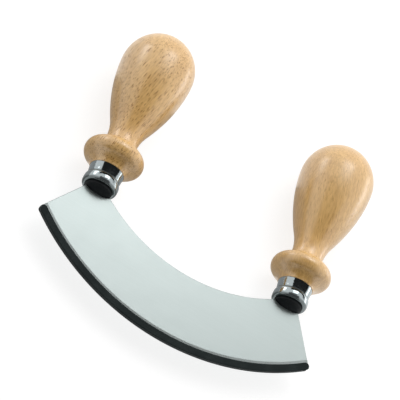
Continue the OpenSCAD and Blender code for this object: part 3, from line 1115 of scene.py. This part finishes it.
def guard_channel(settings):
    """Sweeps the guard's section along the edge and pushes its two ends out round."""
    edge_r, width = settings.blade.edge_radius, settings.guard.width
    section, outer_r = guard_section(settings)
    mid_r = outer_r - width / 2
    span = half_angle(settings, edge_r) - width / 2 / mid_r
    end_turn = 1e-5
    bm = bmesh.new()
    verts = [bm.verts.new((0, y, -r)) for r, y in section]
    bm.faces.new(verts)
    bmesh.ops.rotate(bm, verts=bm.verts, cent=(0, 0, 0), matrix=Matrix.Rotation(span, 3, "Y"))
    longer_than = 0.5 * MM
    long_edges = [e for e in bm.edges if e.calc_length() > longer_than]
    bmesh.ops.subdivide_edges(bm, edges=long_edges, cuts=7, use_grid_fill=False)
    geom = bm.verts[:] + bm.edges[:] + bm.faces[:]
    spun(bm, geom, (0, 1, 0), -2 * span, steps=180, close=False)
    for v in bm.verts:
        turn = math.atan2(v.co.x, -v.co.z)
        if abs(abs(turn) - span) < end_turn:
            r = math.hypot(v.co.x, v.co.z)
            push = math.sqrt(max(0, (width / 2) ** 2 - (r - mid_r) ** 2)) / mid_r
            turn += math.copysign(push, turn)
            v.co.x = r * math.sin(turn)
            v.co.z = -r * math.cos(turn)
    bmesh.ops.triangulate(bm, faces=[f for f in bm.faces if len(f.verts) > 4])
    bmesh.ops.translate(bm, verts=bm.verts, vec=(0, 0, edge_r))
    return bm


class Stage(bpy.types.Operator):
    """Set up the pale table, the studio light and the camera"""

    bl_idname = "rocking_knife.stage"
    bl_label = "Stage"

    def execute(self, context):
        scene = context.scene
        scene.view_settings.view_transform = "Standard"
        add_floor(knife(context).stage)
        add_world(scene)
        add_lamps()
        add_cards()
        add_camera(scene, knife(context).stage)
        return {"FINISHED"}


TABLE_SIZE = (8, 8)
# Light that the table gives off, and what is added to it where it is seen, to show as white
TABLE_LIGHT = 0.33
TABLE_SEEN = 0.47
# Light of the surroundings on the knife, from all other sides and from the camera's side
WORLD_LIGHT = (1.0, 0.2)
DIM_SIDE = (-0.207, -0.555, 0.8055)

LAMPS = {
    # name: direction, distance, width, height, power, seen in gloss, lights dull surfaces
    "key_softbox": ((0.06, 0.57, 0.82), 1.15, 0.52, 0.42, 1.5, True, True),
    "top_softbox": ((0.05, 0.5, 0.86), 1.2, 1.3, 1.1, 5.0, False, True),
    "back_softbox": ((0.2, 0.88, 0.42), 1.2, 1.1, 0.4, 1.6, False, True),
    "right_softbox": ((0.88, 0.44, 0.07), 1.0, 0.5, 0.28, 1.05, True, False),
    "left_softbox": ((-0.80, 0.555, 0.27), 1.0, 0.3, 0.25, 0.65, True, False),
}

CARDS = {
    # name: centre, direction that it faces along, width, height, brightness
    "ceiling_card": ((-0.05, -0.09, 1.0), (0, 0, 1), 1.3, 0.82, 0.18),
    "upper_front_card": ((-0.1, -0.65, 0.717), (0, -0.89, 0.45), 1.7, 0.657, 0.34),
    "lower_front_card": ((-0.1, -0.898, 0.227), (0, -0.89, 0.45), 1.7, 0.443, 0.03),
    "left_ferrule_card": ((-0.0555, -0.0105, 0.027), (0, 0, 1), 0.021, 0.008, 0.02),
    "right_ferrule_card": ((0.0595, -0.0105, 0.027), (0, 0, 1), 0.021, 0.008, 0.02),
    # Painted shade: two grey sheets on the table, seen only in the metal, stand in for the shaded table
    # under the knife
    "left_floor_shade_card": ((-0.11, 0.012, 0.0003), (0, 0, 1), 0.09, 0.08, 0.4),
    "right_floor_shade_card": ((0.002, 0.012, 0.0003), (0, 0, 1), 0.09, 0.08, 0.4),
}

# Where the camera stands, and what lies to its right and behind it
CAMERA_PLACE = (-0.342096, -0.898010, 1.313196)
CAMERA_RIGHT = (0.83424, 0.32766, 0.44349)
CAMERA_BACK = (-0.20746, -0.55869, 0.80301)


def seen_directly(tree):
    """One for rays that show the background itself: from the camera, or off metal or glass."""
    rays = add(tree, "LightPath").outputs
    direct = maths(tree, "MAXIMUM", rays["Is Camera Ray"], rays["Is Glossy Ray"])
    return maths(tree, "MAXIMUM", direct, rays["Is Transmission Ray"])


def stage_plane(name, size, matrix, material):
    """A flat square that belongs to the stage."""
    bm = bmesh.new()
    bmesh.ops.create_grid(bm, x_segments=1, y_segments=1, size=0.5)
    bmesh.ops.scale(bm, vec=(size[0], size[1], 1), verts=bm.verts)
    bm.transform(matrix)
    plane = meshed(bm, name)
    plane.data.materials.append(material)
    return plane


def add_floor(sizes):
    """Pale table that keeps the knife's shadow and shows white around it."""
    material, tree = new_material("table")
    looks = {
        "Base Color": (*sizes.floor, 1),
        "Roughness": 0.9,
        "Specular IOR Level": 0,
        "Emission Color": (1, 1, 1, 1),
        "Emission Strength": times_plus(tree, seen_directly(tree), TABLE_SEEN, TABLE_LIGHT),
    }
    stage_plane("table_top", TABLE_SIZE, Matrix.Identity(4), dressed(material, looks))


def add_world(scene):
    """White surroundings, which light the knife softly, and less from the camera's side."""
    world = bpy.data.worlds.new("studio")
    scene.world = world
    world.use_nodes = True
    tree = world.node_tree
    direction = add(tree, "TexCoord").outputs["Generated"]
    facing_camera = toward(tree, direction, Vector(DIM_SIDE).normalized())
    soft = step(tree, facing_camera, 0.22, 0.85, *WORLD_LIGHT)
    shown = between(tree, seen_directly(tree), soft, 1.0)
    fill(tree, tree.nodes["Background"], {"Color": (1, 1, 1, 1), "Strength": shown})


def facing(direction, distance):
    """A place in some direction from the knife, turned to face it."""
    way = Vector(direction).normalized()
    turn = way.to_track_quat("Z", "Y").to_matrix().to_4x4()
    return Matrix.Translation(way * distance) @ turn


def add_lamps():
    """Soft lamps over and behind the knife, and small ones that draw stripes on the ferrules."""
    for name, (direction, distance, width, height, power, in_gloss, on_dull) in LAMPS.items():
        lamp = bpy.data.lights.new(name, "AREA")
        lamp.shape = "RECTANGLE"
        lamp.size = width
        lamp.size_y = height
        lamp.energy = power
        holder = placed(name, lamp)
        holder.matrix_world = facing(direction, distance)
        holder.visible_camera = False
        holder.visible_glossy = in_gloss
        holder.visible_diffuse = on_dull


def add_cards():
    """Dark and grey cards round the set, which only show as reflections in the metal."""
    for name, (centre, direction, width, height, level) in CARDS.items():
        looks = {
            "Base Color": (0, 0, 0, 1),
            "Specular IOR Level": 0,
            "Emission Color": (1, 1, 1, 1),
            "Emission Strength": level,
        }
        place = Matrix.Translation(centre) @ facing(direction, 0)
        material = dressed(new_material(name)[0], looks)
        card = stage_plane(name, (width, height), place, material)
        card.visible_camera = False
        card.visible_diffuse = False
        card.visible_transmission = False
        card.visible_shadow = False


def add_camera(scene, sizes):
    """Camera in the photograph's place, high over the cutting edge and rolled to one side."""
    data = bpy.data.cameras.new("camera")
    data.sensor_width = 36
    data.lens = sizes.lens
    data.clip_start = 0.1
    data.clip_end = 20
    right = Vector(CAMERA_RIGHT).normalized()
    back = Vector(CAMERA_BACK)
    back = (back - right * back.dot(right)).normalized()
    turn = Matrix((right, back.cross(right), back)).transposed()
    camera = placed("camera", data)
    camera.matrix_world = Matrix.Translation(CAMERA_PLACE) @ turn.to_4x4()
    scene.camera = camera


# Add-on


class KnifeSettings(bpy.types.PropertyGroup):
    """All settings of the rocking knife."""

    blade: PointerProperty(name="Blade", description="Sizes of the blade", type=BladeSettings)
    handle: PointerProperty(name="Handles", description="Sizes of the handles", type=HandleSettings)
    ferrule: PointerProperty(name="Ferrules", description="Sizes of the ferrules", type=FerruleSettings)
    bush: PointerProperty(name="Bushes", description="Sizes of the bushes", type=BushSettings)
    guard: PointerProperty(name="Edge guard", description="Sizes of the guard", type=GuardSettings)
    stage: PointerProperty(name="Stage", description="Floor and camera", type=StageSettings)


OPERATORS = (Finishes, BladePiece, HandlePieces, FerrulePieces, BushPieces, GuardPiece, Stage)
PARTS = (BladeSettings, HandleSettings, FerruleSettings, BushSettings, GuardSettings, StageSettings)


class KnifePanel(bpy.types.Panel):
    """Builds the pieces of the knife one by one, from its settings"""

    bl_idname = "VIEW3D_PT_rocking_knife"
    bl_label = "Rocking Knife"
    bl_space_type = "VIEW_3D"
    bl_region_type = "UI"
    bl_category = "Rocking Knife"

    def draw(self, context):
        settings = knife(context)
        for operator in OPERATORS:
            self.layout.operator(operator.bl_idname)
        for part in KnifeSettings.__annotations__:
            box = self.layout.box()
            box.label(text=part.capitalize())
            group = getattr(settings, part)
            for key in group.__annotations__:
                box.prop(group, key)


CLASSES = (*PARTS, KnifeSettings, *OPERATORS, KnifePanel)


def register():
    """Registers the settings, the operators and the panel."""
    for cls in CLASSES:
        bpy.utils.register_class(cls)
    bpy.types.Scene.rocking_knife = PointerProperty(type=KnifeSettings)


def unregister():
    """Takes back what register did."""
    del bpy.types.Scene.rocking_knife
    for cls in reversed(CLASSES):
        bpy.utils.unregister_class(cls)


def main():
    """Builds every piece and the stage."""
    register()
    bpy.ops.rocking_knife.finishes()
    bpy.ops.rocking_knife.blade()
    bpy.ops.rocking_knife.handles()
    bpy.ops.rocking_knife.ferrules()
    bpy.ops.rocking_knife.bushes()
    bpy.ops.rocking_knife.guard()
    bpy.ops.rocking_knife.stage()
    bpy.context.view_layer.update()


if __name__ == "__main__":
    main()
